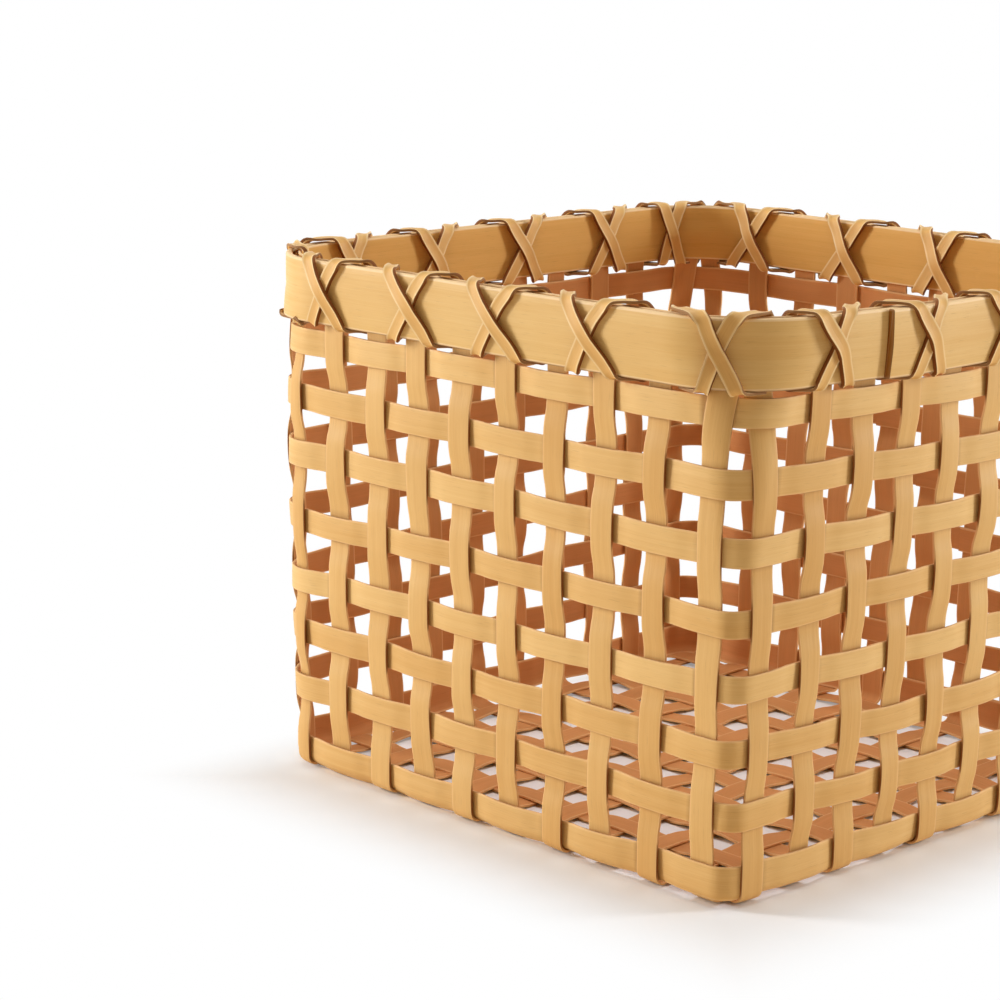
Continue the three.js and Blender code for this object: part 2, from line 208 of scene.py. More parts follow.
# The photograph shows how the front wall's stakes and the first of the right wall stand, and that
# the first three lean, by so much for each millimetre of height. The others are drawn.
FRONT_DRIFT = [4.0, 3.0, 2.1, 1.0, -0.1, -0.5, -0.4, -0.8, -0.2, 1.0]
RIGHT_DRIFT = [-1.3, 0.2, -0.2, -0.2, -0.3, -0.5]
FIRST_LEANS = [0.020, 0.024, 0.012]
LEAN_MIDDLE = 90.0
seen_drift = FRONT_DRIFT + RIGHT_DRIFT
stake_drift[: len(seen_drift)] = seen_drift
stake_lean = np.zeros(STAKES_ROUND)
stake_lean[: len(FIRST_LEANS)] = FIRST_LEANS
print("stakes that follow the photograph:", len(seen_drift))

# %% How rows rise and crossings bend, in millimetres
# Each row, and last the rim, rises above its even height at eight places round the ring: the
# front's middle, the corner after it, and so on. The photograph shows four of them. At the others
# the rows are drawn and the rim is level.
PLACES_ROUND = 8
RIM_ROW = WEAVER_COUNT
FRONT_MIDDLE = 0
NEAR_CORNER = 1
RIGHT_MIDDLE = 2
LEFT_CORNER = 7
RISE_SPREAD = 0.6
row_rise = chance.normal(0.0, RISE_SPREAD, (WEAVER_COUNT + 1, PLACES_ROUND))
row_rise[:, LEFT_CORNER] = [-1.8, 0.6, -0.2, -2.6, -1.7, 1.5, 0.6, -0.6, 0.0]
row_rise[:, FRONT_MIDDLE] = [-1.4, 1.2, 0.1, -1.7, -0.6, 1.7, 0.9, 0.9, 1.0]
row_rise[:, NEAR_CORNER] = [0.9, 1.1, 0.2, 0.3, 0.3, 1.5, 1.6, 2.6, 2.4]
row_rise[:, RIGHT_MIDDLE] = [-0.8, -1.8, -2.2, -0.9, 0.4, -0.5, -1.0, 0.0, 0.0]
row_rise[RIM_ROW, RIGHT_MIDDLE + 1 : LEFT_CORNER] = 0.0

# At each crossing the stake and the weaver share the bending. Both shares always clear a strip.
# The photograph shows the two stakes beside the near corner pulled straight.
STAKE_BEND_LEAST = 0.55
STAKE_BEND_SPAN = 0.70
WEAVER_BEND_MOST = 0.75
WEAVER_BEND_SPAN = 0.15
bend_share = chance.random((STAKES_ROUND, WEAVER_COUNT))
bend_share[STAKES_PER_SIDE - 1 : STAKES_PER_SIDE + 1] = 0.0
stake_bend = STAKE_BEND_LEAST + STAKE_BEND_SPAN * bend_share
weaver_bend = WEAVER_BEND_MOST - WEAVER_BEND_SPAN * bend_share
print("least room at a crossing:", round(float((stake_bend + weaver_bend).min()), 2), "mm")


# %% Places of stakes and rows
def stake_ring(ring_stake, z):
    """Ring place of a stake at a height: even spacing plus its drift and lean, and where that
    passes the straight part of the wall, the arc whose sine reaches as far."""
    whole = np.floor(ring_stake / STAKES_ROUND)
    number = np.asarray(ring_stake - whole * STAKES_ROUND, dtype=int)
    face = number // STAKES_PER_SIDE
    spacing = (half_side(z) - CORNER_SPACE) / MIDDLE_STAKE
    place = (number % STAKES_PER_SIDE - MIDDLE_STAKE) * spacing + stake_drift[number]
    place = place + stake_lean[number] * (z - LEAN_MIDDLE)
    # Half way towards its corner, a ring place belongs to that corner for certain.
    toward = face + np.sign(place) / 4
    radius = corner_radius(toward, z)
    straight = half_side(z) - radius
    past = np.clip((np.abs(place) - straight) / radius, 0.0, 1.0)
    run = np.sign(place) * (np.minimum(np.abs(place), straight) + radius * np.arcsin(past))
    return face + run / ring_scale(toward, z) + 4 * whole


def rise(row, ring):
    """A row's rise: the values at the eight places, blended round by a squared sine."""
    step = 2 * np.asarray(ring)
    before = np.floor(step)
    share = np.sin((step - before) * np.pi / 2) ** 2
    here = before.astype(int) % PLACES_ROUND
    return row_rise[row, here] * (1 - share) + row_rise[row, (here + 1) % PLACES_ROUND] * share


def row_height(row, ring):
    """Height of a row: even pitch plus its rise."""
    return FIRST_WEAVER + row * WEAVER_PITCH + rise(row, ring)


print("top row at the near corner:", round(float(row_height(WEAVER_COUNT - 1, 0.5)), 1), "mm high")

# %% Waves, easing and wander
WAVE_FLATNESS = 0.35
WIDTH_SPREAD = 0.03


def weave_wave(count):
    """A cosine over the crossings, flattened on its crests where strips lie over each other."""
    swing = np.cos(np.pi * count)
    return swing * np.sqrt((1 + WAVE_FLATNESS) / (swing**2 + WAVE_FLATNESS))


def lap_ease(distance, length):
    """Zero at a strip's end and one beyond a length, by a smooth step."""
    share = np.clip(distance / length, 0.0, 1.0)
    return share * share * (3 - 2 * share)


def eased(count, values):
    """Values at whole counts, joined by a smooth step between each two."""
    count = np.clip(count, 0.0, len(values) - 1.0)
    before = np.minimum(np.floor(count).astype(int), len(values) - 2)
    step = lap_ease(count - before, 1.0)
    return values[before] * (1 - step) + values[before + 1] * step


def slow_wander(distance, size, wavelength):
    """A gentle drift along a strip: two sine waves of seeded phase, one twice as long."""
    first, second = chance.random(2) * 2 * np.pi
    waves = np.sin(2 * np.pi * distance / wavelength + first)
    return size * (waves + np.sin(np.pi * distance / wavelength + second)) / 2


print("wave on a stake and a quarter further on:", weave_wave(0.0), round(weave_wave(0.25), 2))

# %% [markdown]
# The strip's section and its mesh
#
# Split bamboo has a faintly crowned skin side, a flat inner side and edges softened by a knife.
# A bevelled curve could carry such a section, but its grain would not know how far along it is.
# Here a section of thirty points is carried along the path as one array. The UV map holds the
# distance along and around the strip in metres, so the grain has its real size everywhere.
# Attributes tell the material where skin and edges are, where shade is painted dark, and each
# strip's own tone.

# %% Section of a strip
FLAT_POINTS = 7
ROUND_POINTS = 4
EDGE_ROUNDING = 0.28
MOST_ROUNDING = 0.45


def strip_section():
    """Section points from the upper edge down the skin side, round the lower edge and up the
    inner side. Each is a share of half the width and thickness, plus a share of the rounding."""
    signs = np.array([(1, 1), (-1, 1), (-1, -1), (1, -1)], dtype=float)
    turn = np.linspace(0.0, np.pi / 2, ROUND_POINTS)
    quarter = np.stack([np.cos(turn), np.sin(turn)], axis=1)
    arcs = [quarter * sign for sign in signs]
    held = [np.tile(sign, (ROUND_POINTS, 1)) for sign in signs]
    places = np.linspace(1.0, -1.0, FLAT_POINTS + 2)[1:-1]
    skin = np.stack([places, np.ones(FLAT_POINTS)], axis=1)
    outward = np.tile([0.0, 1.0], (FLAT_POINTS, 1))
    core = np.concatenate([held[0], skin, held[1], held[2], -skin, held[3]])
    curl = np.concatenate([arcs[0], outward, arcs[1][::-1], arcs[2], -outward, arcs[3][::-1]])
    return core, curl


SECTION_CORE, SECTION_CURL = strip_section()
SECTION_SIDES = np.abs(SECTION_CURL[:, 0])
SKIN_SIDE = np.clip(SECTION_CURL[:, 1], 0.0, 1.0)
SECTION_POINTS = len(SECTION_CORE)
print("points in a section:", SECTION_POINTS)


def section_offsets(width, thickness, crown, rounding=EDGE_ROUNDING):
    """Across and outward offsets of the section at each station. The crown is a parabola over
    the skin side's width; below zero it is a hollow."""
    width = np.asarray(width, dtype=float)[:, None]
    thickness = np.asarray(thickness, dtype=float)[:, None]
    soft = np.minimum(rounding, MOST_ROUNDING * thickness)
    across = SECTION_CORE[:, 0] * (width / 2 - soft) + SECTION_CURL[:, 0] * soft
    outward = SECTION_CORE[:, 1] * (thickness / 2 - soft) + SECTION_CURL[:, 1] * soft
    bulge = crown * (1 - (2 * across / width) ** 2)
    return across, outward + np.where(SECTION_CORE[:, 1] > 0, bulge, 0.0)


# %% Painted shade of a woven strip
# How dark the painted shade is on a strip's edges on crests and on its skin in dips, and where on
# the wave each begins.
STAKE_EDGE_SHADE = 0.9
STAKE_DIP_SHADE = 0.2
WEAVER_EDGE_SHADE = 0.45
WEAVER_DIP_SHADE = 0.52
CREST_LEVEL = 0.7
DIP_LEVEL = 0.84
DIP_SPAN = 0.1


def crossing_shade(wave, crest, dip):
    """Painted shade: dark edges where a strip lies on top, and dark skin where it dives under
    another: the wave's crests times the section's sides, and its dips times the skin side."""
    crests = crest * lap_ease(wave - CREST_LEVEL, 1 - CREST_LEVEL)
    dips = dip * lap_ease(-wave - DIP_LEVEL, DIP_SPAN)
    return np.maximum(crests[:, None] * SECTION_SIDES, dips[:, None] * SKIN_SIDE)


crest_and_dip = crossing_shade(np.array([1.0, -1.0]), WEAVER_EDGE_SHADE, WEAVER_DIP_SHADE)
print("darkest points of a weaver on a crest and in a dip:", crest_and_dip.max(axis=1))

# %% Mesh of a strip
# Each strip's grain starts this many metres further on than the last one's.
GRAIN_STEP = 0.731
END_STEP = 0.03
END_DARK = 0.75
EDGE_POWER = 6


def with_ends(grid, shade_and_dark_ends):
    """The grid with one more thin slice at each end, so that a cut end is darker than its strip."""
    before = grid[:1] + END_STEP * (grid[:1] - grid[1:2])
    after = grid[-1:] + END_STEP * (grid[-1:] - grid[-2:-1])
    dark = np.full((1, SECTION_POINTS), END_DARK)
    between = np.broadcast_to(shade_and_dark_ends, grid.shape[:2])
    return np.concatenate([before, grid, after]), np.concatenate([dark, between, dark])


def strip_faces(stations):
    """Quads between neighbouring stations and section points, wound to face outward."""
    here = np.arange(SECTION_POINTS)
    beside = (here + 1) % SECTION_POINTS
    start = np.arange(stations - 1)[:, None] * SECTION_POINTS
    ahead = start + SECTION_POINTS
    quads = np.stack([start + here, start + beside, ahead + beside, ahead + here], axis=-1)
    return quads.reshape(-1, 4)


def distances(points):
    """Distance of each point from the first, along the line that joins them."""
    steps = np.linalg.norm(np.diff(points, axis=0), axis=1)
    return np.concatenate([[0.0], np.cumsum(steps)])


def strip_uv(grid, quads):
    """UV of every corner of the quads and of both ends, in millimetres: the distance along the
    strip's middle line and round its middle section."""
    along = distances(grid.mean(axis=1))
    loop = grid[len(grid) // 2]
    around = distances(np.concatenate([loop, loop[:1]]))
    row, column = np.divmod(np.arange(len(quads)), SECTION_POINTS)
    u = along[np.stack([row, row, row + 1, row + 1], axis=1)]
    v = around[np.stack([column, column + 1, column + 1, column], axis=1)]
    end_u = np.repeat(along[[0, -1]], SECTION_POINTS)
    end_v = np.tile(around[:-1], 2)
    return np.stack([np.append(u, end_u), np.append(v, end_v)], axis=1)


def strip_mesh(name, grid, shade_and_dark_ends, skin_side):
    """A closed strip from a grid of stations by section points, in millimetres, with its grain's
    UV map and the attributes skin, edge, tone, and one for painted shade and dark cut ends."""
    grid, shade_and_dark_ends = with_ends(grid, shade_and_dark_ends)
    quads = strip_faces(len(grid))
    first_end = np.arange(SECTION_POINTS)[::-1]
    last_end = np.arange(SECTION_POINTS) + (len(grid) - 1) * SECTION_POINTS
    faces = quads.tolist() + [first_end.tolist(), last_end.tolist()]
    mesh = bpy.data.meshes.new(name)
    mesh.from_pydata((grid.reshape(-1, 3) * MM).tolist(), [], faces)
    uv = strip_uv(grid, quads) * MM
    uv[:, 0] += GRAIN_STEP * len(bpy.data.meshes)
    mesh.uv_layers.new(name="grain").data.foreach_set("uv", uv.ravel())
    facing = skin_side * (SECTION_CORE[:, 1] + SECTION_CURL[:, 1]) / 2
    values = {
        "skin": np.clip(facing, 0.0, 1.0),
        "edge": np.abs(SECTION_CORE[:, 0]) ** EDGE_POWER,
        "tone": np.array(chance.random()),
        "shade_and_dark_ends": shade_and_dark_ends,
    }
    for label, value in values.items():
        layer = mesh.attributes.new(label, "FLOAT", "POINT")
        layer.data.foreach_set("value", np.broadcast_to(value, shade_and_dark_ends.shape).ravel())
    mesh.polygons.foreach_set("use_smooth", np.ones(len(mesh.polygons), dtype=bool))
    mesh.update()
    return mesh


print("faces between two stations:", len(strip_faces(2)))

# %% [markdown]
# Bamboo
#
# A split strip shows long fine fibres, paler and darker streaks, slow blotches of tone and short
# dark flecks. Its skin is waxy and straw yellow. Its inner side is duller, and its deeper orange is
# partly painted shade and warm bounce light, so the basket glows red-brown inside. An image could
# carry this, but nodes stay sharp at any distance.
# One group makes the grain from the UV map, and each finish mixes its own colours by it.

# %% Grain group
# Each kind of noise: waves to a metre along and around the strip, then detail and roughness.
GRAIN_NOISE = {
    "Fibre": (26.0, 2100.0, 3.0, 0.6),
    "Streak": (9.0, 420.0, 2.0, 0.5),
    "Blotch": (11.0, 45.0, 3.0, 0.55),
    "Fleck": (130.0, 3300.0, 1.0, 0.5),
}
FLECK_RANGE = (0.62, 0.78)


def feed(tree, node, values):
    """Gives a node's inputs, by name or number, plain values or links from other nodes."""
    for key, value in values.items():
        if isinstance(value, (int, float, tuple)):
            node.inputs[key].default_value = value
        else:
            tree.links.new(value, node.inputs[key])


def stretched_noise(tree, source, along, around, detail, roughness):
    """A noise texture read at a place that is scaled separately along and around the strip."""
    scaled = tree.nodes.new("ShaderNodeVectorMath")
    scaled.operation = "MULTIPLY"
    feed(tree, scaled, {0: source, 1: (along, around, 1.0)})
    place = scaled.outputs["Vector"]
    noise = tree.nodes.new("ShaderNodeTexNoise")
    feed(tree, noise, {"Vector": place, "Scale": 1.0, "Detail": detail, "Roughness": roughness})
    return noise.outputs["Fac"]


def ranged(tree, source, low, high, to_low=0.0, to_high=1.0):
    """A value taken from one range to another by a smooth step, and clamped."""
    node = tree.nodes.new("ShaderNodeMapRange")
    node.interpolation_type = "SMOOTHSTEP"
    ends = {"From Min": low, "From Max": high, "To Min": to_low, "To Max": to_high}
    feed(tree, node, {"Value": source, **ends})
    return node.outputs["Result"]


def combined(tree, operation, first, second):
    """Two values joined by arithmetic; either may be a plain number."""
    node = tree.nodes.new("ShaderNodeMath")
    node.operation = operation
    feed(tree, node, {0: first, 1: second})
    return node.outputs["Value"]


def make_grain_group():
    """Fibres are noise drawn out along the strip; streaks are broader; blotches are slow changes
    of tone; flecks are the peaks of a fine noise; the height is fibres and streaks less flecks."""
    group = bpy.data.node_groups.new("bamboo_grain", "ShaderNodeTree")
    group.interface.new_socket("Place", in_out="INPUT", socket_type="NodeSocketVector")
    for label in (*GRAIN_NOISE, "Height"):
        group.interface.new_socket(label, in_out="OUTPUT", socket_type="NodeSocketFloat")
    source = group.nodes.new("NodeGroupInput").outputs["Place"]
    result = group.nodes.new("NodeGroupOutput")
    kinds = {label: stretched_noise(group, source, *values) for label, values in GRAIN_NOISE.items()}
    kinds["Fleck"] = ranged(group, kinds["Fleck"], *FLECK_RANGE)
    ridges = combined(group, "ADD", kinds["Fibre"], kinds["Streak"])
    kinds["Height"] = combined(group, "SUBTRACT", ridges, kinds["Fleck"])
    feed(group, result, kinds)
    return group


grain_group = make_grain_group()
print("grain group sockets:", [item.name for item in grain_group.interface.items_tree])

# %% Bamboo colour
# What a strip's tone, blotches and fibres each add to its depth of colour, and the depth's range.
TONE_SHARE = 0.25
BLOTCH_SHARE = 0.5
FINE_SHARE = 0.35
DEPTH_RANGE = (0.35, 1.15)
INNER_DEEPER = 0.82
FLECK_SHARE = 0.22
FLECK_COLOUR = (146, 96, 48)
# The dark colour of painted shade at crossings, under the rim and beside the strands, and of cut
# ends.
SHADE_AND_END_COLOUR = (122, 62, 8)


def linear(red, green, blue):
    """A screen colour from 0 to 255 as linear light, by the standard curve."""
    screen = np.array([red, green, blue]) / 255
    light = np.where(screen <= 0.04045, screen / 12.92, ((screen + 0.055) / 1.055) ** 2.4)
    return (*light.tolist(), 1.0)


def blended(tree, share, first, second):
    """Two colours mixed by a share; each may be a plain colour."""
    node = tree.nodes.new("ShaderNodeMix")
    node.data_type = "RGBA"
    feed(tree, node, {0: share, 6: first, 7: second})
    return node.outputs[2]


def attribute(tree, name):
    """A float attribute of the piece."""
    node = tree.nodes.new("ShaderNodeAttribute")
    node.attribute_name = name
    return node.outputs["Fac"]


def bamboo_colour(tree, grain, pale, deep, inner, cut, edge):
    """The skin lies between a pale and a deep tone by the grain. The inner side and cut edges have
    their own colours; the inner side's deep orange also stands in for shade and warm bounce
    light inside the basket. Painted shade and dark cut ends get one dark colour. The edge values:
    where its paleness starts, is full, and how strong it is."""
    tone = combined(tree, "MULTIPLY", attribute(tree, "tone"), TONE_SHARE)
    slow = combined(tree, "ADD", tone, combined(tree, "MULTIPLY", grain["Blotch"], BLOTCH_SHARE))
    ridges = combined(tree, "ADD", grain["Fibre"], grain["Streak"])
    fine = combined(tree, "MULTIPLY", ridges, FINE_SHARE)
    depth = ranged(tree, combined(tree, "ADD", slow, fine), *DEPTH_RANGE)
    skin_colour = blended(tree, depth, linear(*pale), linear(*deep))
    inner_deep = (*(channel * INNER_DEEPER for channel in linear(*inner)[:3]), 1.0)
    inner_colour = blended(tree, depth, linear(*inner), inner_deep)
    sided = blended(tree, attribute(tree, "skin"), inner_colour, skin_colour)
    starts, full, paleness = edge
    pale_edge = ranged(tree, attribute(tree, "edge"), starts, full, 0.0, paleness)
    edged = blended(tree, pale_edge, sided, linear(*cut))
    flecks = combined(tree, "MULTIPLY", grain["Fleck"], FLECK_SHARE)
    flecked = blended(tree, flecks, edged, linear(*FLECK_COLOUR))
    # Painted shade and dark cut ends are laid over everything else.
    return blended(tree, attribute(tree, "shade_and_dark_ends"), flecked, linear(*SHADE_AND_END_COLOUR))


print("crevice colour in linear light:", np.round(linear(*SHADE_AND_END_COLOUR)[:3], 3))

# %% Bamboo finishes
INNER_ROUGHER = 0.22
FIBRE_RANGE = (0.3, 0.7)
FIBRE_ROUGHNESS = (-0.06, 0.08)
BUMP = {"Distance": 0.00012, "Strength": 0.35}
WAXY = {"IOR": 1.45, "Specular IOR Level": 0.18}
THIN_EDGE = (0.6, 1.0, 0.55)
CLEAN_EDGE = (0.85, 1.0, 0.8)
BROAD_EDGE = (0.05, 0.55, 0.75)

# Each finish: the skin's pale and deep tones, inner side, cut edge, skin's roughness, edge values.
# The inner side's deep orange is partly painted shade and warm bounce light inside the basket.
FINISHES = {
    "stake": ((235, 196, 131), (216, 166, 97), (220, 156, 98), (243, 202, 146), 0.46, THIN_EDGE),
    "weaver": ((240, 204, 140), (221, 173, 104), (217, 149, 92), (243, 202, 146), 0.46, THIN_EDGE),
    "rim": ((236, 201, 136), (220, 172, 99), (225, 160, 54), (248, 218, 172), 0.42, CLEAN_EDGE),
    "lashing": ((236, 194, 126), (219, 168, 97), (206, 146, 84), (249, 221, 168), 0.44, BROAD_EDGE),
}


def bamboo_finish(name, pale, deep, inner, cut, skin_roughness, edge):
    """Bamboo: coloured by the grain and the piece's attributes, rougher on its inner side, with
    fibres that also set the roughness and the bump."""
    material = bpy.data.materials.new(name)
    material.use_nodes = True
    tree = material.node_tree
    shader = tree.nodes["Principled BSDF"]
    uv = tree.nodes.new("ShaderNodeUVMap")
    uv.uv_map = "grain"
    group = tree.nodes.new("ShaderNodeGroup")
    group.node_tree = grain_group
    feed(tree, group, {"Place": uv.outputs["UV"]})
    grain = group.outputs
    inner_roughness = skin_roughness + INNER_ROUGHER
    sided = ranged(tree, attribute(tree, "skin"), 0.0, 1.0, inner_roughness, skin_roughness)
    fibres = ranged(tree, grain["Fibre"], *FIBRE_RANGE, *FIBRE_ROUGHNESS)
    bump = tree.nodes.new("ShaderNodeBump")
    feed(tree, bump, {"Height": grain["Height"], **BUMP})
    surface = {
        "Base Color": bamboo_colour(tree, grain, pale, deep, inner, cut, edge),
        "Roughness": combined(tree, "ADD", sided, fibres),
        "Normal": bump.outputs["Normal"],
    }
    feed(tree, shader, {**surface, **WAXY})
    return material


def add_strip(node, grid, shade_and_dark_ends, kind, skin_side=1):
    """Puts a strip into the scene in place of its solid, riding on the basket's one body."""
    mesh = strip_mesh(node + "_strip", grid, shade_and_dark_ends, skin_side)
    mesh.materials.append(finishes[kind])
    piece = bpy.data.objects.new(node + "_strip", mesh)
    scene.collection.objects.link(piece)
    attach(piece, "root")
    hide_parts(node)


finishes = {kind: bamboo_finish(f"bamboo_{kind}_finish", *FINISHES[kind]) for kind in FINISHES}
print("finishes:", list(finishes))

# %% [markdown]
# Stakes
#
# A stake comes down one wall, turns under in a small bend, crosses the base over and under its
# neighbours, and climbs the far wall to end between the rim bands. It could be three pieces, but
# the real strip is one, and its grain should run on round the bend. The path is therefore laid
# out flat first: distances of all its crossings in order. A wave through them moves the strip in
# and out, and then each stretch is put on the wall, round the bend or on the base.

# %% Stake laid out flat
BASE_WAVE = 0.6
STEP = 1.7
BEND_STATIONS = 9


def stake_layout(first_stake, last_stake):
    """Distances along a stake from its first tip: heights down the wall, angles of the bend,
    places on the base, and the same again upward. Gives each stretch's own coordinate."""
    wall_run = STAKE_TOP - FOOT
    bend_run = BASE_BEND * np.pi / 2
    reach = half_side(FOOT) - BASE_BEND
    base_start = wall_run + bend_run
    up_start = base_start + 2 * reach + bend_run
    heights = np.linspace(STAKE_TOP, FOOT, int(wall_run / STEP))
    angles = np.linspace(0.0, np.pi / 2, BEND_STATIONS)
    places = np.linspace(reach, -reach, int(2 * reach / STEP))
    rows = np.arange(WEAVER_COUNT)
    first_rows = STAKE_TOP - row_height(rows[::-1], stake_ring(first_stake, FOOT))
    last_rows = up_start - FOOT + row_height(rows, stake_ring(last_stake, FOOT))
    spacing = (half_side(FOOT) - CORNER_SPACE) / MIDDLE_STAKE
    base_rows = base_start + reach + (np.arange(STAKES_PER_SIDE) - MIDDLE_STAKE) * spacing
    crossings = np.concatenate([first_rows, base_rows, last_rows])
    base_bends = np.full(STAKES_PER_SIDE, BASE_WAVE)
    bends = np.concatenate([stake_bend[first_stake, ::-1], base_bends, stake_bend[last_stake]])
    runs = {
        "down": STAKE_TOP - heights,
        "under": wall_run + BASE_BEND * angles,
        "base": base_start + reach - places,
        "out": base_start + 2 * reach + BASE_BEND * angles,
        "up": up_start + heights[::-1] - FOOT,
    }
    return heights, angles, places, runs, crossings, bends


def stake_wave(run, crossings, bends, sign):
    """The weave wave through a stake's crossings, and how far out it lies with each one's bend.
    Past the last crossing at either tip it settles half a crossing on, between the rim bands."""
    order = np.arange(len(crossings), dtype=float)
    count = np.interp(run, crossings, order)
    before = np.clip((crossings[0] - run) / WEAVER_PITCH, 0.0, 0.5)
    after = np.clip((run - crossings[-1]) / WEAVER_PITCH, 0.0, 0.5)
    wave = sign * weave_wave(count - before + after)
    return wave, wave * eased(count, bends)


print("a stake crosses", len(stake_layout(0, 3 * STAKES_PER_SIDE - 1)[4]), "strips")

# %% Stake on the walls and the base
FOOT_FADE = 16.0
SKIN_CROWN = 0.08
NARROW_STAKE = 8.2

# Wanders along a stake: size and wavelength.
STAKE_WIDTH_WANDER = (0.25, 70.0)
STAKE_LEAN_WANDER = (0.05, 60.0)
STAKE_SIDE_WANDER = (0.5, 95.0)


def foot_line(face, stake, across):
    """A stake's foot: its run from the wall's middle, where its section points stand along and
    out on the wall's foot line, and the way the wall faces there."""
    ring = stake_ring(stake, FOOT)
    radius = corner_radius(ring, FOOT)
    run = (ring - face) * ring_scale(ring, FOOT)
    along, out = bent(run + across, FOOT, 0.0, radius)
    along_ahead, out_ahead = bent(run + across, FOOT, 1.0, radius)
    return run, along, out, along_ahead - along, out_ahead - out


def foot_bend(face, stake, across, depth, angle):
    """The bend from wall to base: a quarter turn about a line inside the wall's foot line."""
    along, out, face_along, face_out = foot_line(face, stake, across)[1:]
    tuck = np.cos(angle)
    return on_face(
        face,
        along + face_along * depth * tuck,
        out - BASE_BEND * (1 - tuck) + face_out * depth * tuck,
        FOOT - (BASE_BEND + depth) * np.sin(angle),
    )


def base_stretch(face, stakes, places, across, depth):
    """The stretch on the base: straight from foot to foot. A foot on a round corner is off that
    straight line, and the difference fades out over the first millimetres of the base."""
    first_run, first_along, first_out = foot_line(face, stakes[0], across[0])[:3]
    last_run, last_along, last_out = foot_line((face + 2) % 4, stakes[1], -across[-1])[:3]
    share = ((places[0] - places) / (places[0] - places[-1]))[:, None]
    first_fade = 1 - lap_ease(places[0] - places, FOOT_FADE)[:, None]
    last_fade = 1 - lap_ease(places - places[-1], FOOT_FADE)[:, None]
    along = first_run * (1 - share) - last_run * share + across
    along = along + first_fade * (first_along - first_run - across[0])
    along = along - last_fade * (last_along - last_run + across[-1])
    plain = half_side(FOOT)
    out = places[:, None] + first_fade * (first_out - plain) - last_fade * (last_out - plain)
    return on_face(face, along, out, BASE_LEVEL - depth)


def stake_section(run, own_width, crossings, bends, sign):
    """A stake's section at each station: its points across and outward from the walls, wandering
    a little and moved by the weave, and the weave wave itself."""
    width = own_width + slow_wander(run, *STAKE_WIDTH_WANDER)
    across, outward = section_offsets(width, np.full(len(run), STRIP_THICKNESS), SKIN_CROWN)
    lean = slow_wander(run, *STAKE_LEAN_WANDER)[:, None]
    wave, swell = stake_wave(run, crossings, bends, sign)
    depth = swell[:, None] + outward + lean * across
    return across + slow_wander(run, *STAKE_SIDE_WANDER)[:, None], depth, wave


def stake_grid(start_face, number):
    """All the section points of one stake, from the tip on its start wall to the opposite tip,
    and how dark its painted shade is. The photograph shows the very first stake narrower."""
    local = number if start_face == 0 else STAKES_PER_SIDE - 1 - number
    end_face = (start_face + 2) % 4
    first_stake = start_face * STAKES_PER_SIDE + local
    last_stake = end_face * STAKES_PER_SIDE + STAKES_PER_SIDE - 1 - local
    heights, angles, places, runs, crossings, bends = stake_layout(first_stake, last_stake)
    sign = 1.0 if (first_stake + WEAVER_COUNT - 1) % 2 == 0 else -1.0
    run = np.concatenate(list(runs.values()))
    own_width = NARROW_STAKE if first_stake == 0 else STAKE_WIDTH * chance.normal(1.0, WIDTH_SPREAD)
    across, depth, wave = stake_section(run, own_width, crossings, bends, sign)
    cuts = np.cumsum([len(stretch) for stretch in runs.values()])[:-1]
    down, under, base, out, up = zip(np.split(across, cuts), np.split(depth, cuts))
    fall = heights[:, None]
    climb = fall[::-1]
    swing = angles[:, None]
    first_ring = stake_ring(first_stake, fall)
    last_ring = stake_ring(last_stake, climb)
    # Each stretch starts where the one before it ends, so its first station is left out.
    stretches = [
        wall(first_ring + down[0] / ring_scale(first_ring, fall), fall, down[1]),
        foot_bend(start_face, first_stake, under[0], under[1], swing)[1:],
        base_stretch(start_face, (first_stake, last_stake), places, base[0], base[1])[1:],
        foot_bend(end_face, last_stake, -out[0], out[1], swing[::-1])[1:],
        wall(last_ring - up[0] / ring_scale(last_ring, climb), climb, up[1])[1:],
    ]
    kept = np.delete(np.arange(len(run)), cuts)
    # Painted shade at the stake's crossings.
    return np.concatenate(stretches), crossing_shade(wave[kept], STAKE_EDGE_SHADE, STAKE_DIP_SHADE)


for number in range(STAKES_PER_SIDE):
    for word, start_face in (("stake_lengthwise", 0), ("stake_crosswise", 3)):
        add_strip(f"{word}_{number + 1:02d}", *stake_grid(start_face, number), "stake")
print("stakes:", 2 * STAKES_PER_SIDE)

# %% [markdown]
# Weavers
#
# A weaver is a springy strip that goes round all four walls, outside one stake and inside the
# next, and laps over itself at the back. The lowest one is wider and closes the foot. A ring with
# a wave modifier would be quick, but would not know where the stakes stand. Here the strip's count
# of stakes is read from the stakes' own places, so every wave crest falls on a stake.

# %% Weavers
FOOT_ROW_EXTRA = 2.2

# A lap's start on the back wall, which steps on from row to row, and its length, in stakes.
LAP_START = 1.75
LAP_ROWS = 3
LAP_STAKES = 1.5

# The pared ends: over what length, how thin, and how far they move apart.
PARED_LENGTH = 8.0
PARED_SHARE = 0.46
PARED_SHIFT = 0.27

# Wanders along a weaver: size and wavelength.
WEAVER_HEIGHT_WANDER = (0.35, 110.0)
WEAVER_WIDTH_WANDER = (0.3, 90.0)
WEAVER_LEAN_WANDER = (0.05, 75.0)


def stake_count(ring, z):
    """How many stakes lie before a ring place, with shares between two stakes."""
    numbers = np.arange(-2 * STAKES_PER_SIDE, 3 * STAKES_ROUND)
    return np.interp(ring, stake_ring(numbers, z), numbers)


def between_stakes(count, z):
    """About the ring place of a count of stakes: the stake before it and a share of a step."""
    return float(stake_ring(np.floor(count), z)) + (count % 1) / STAKES_PER_SIDE


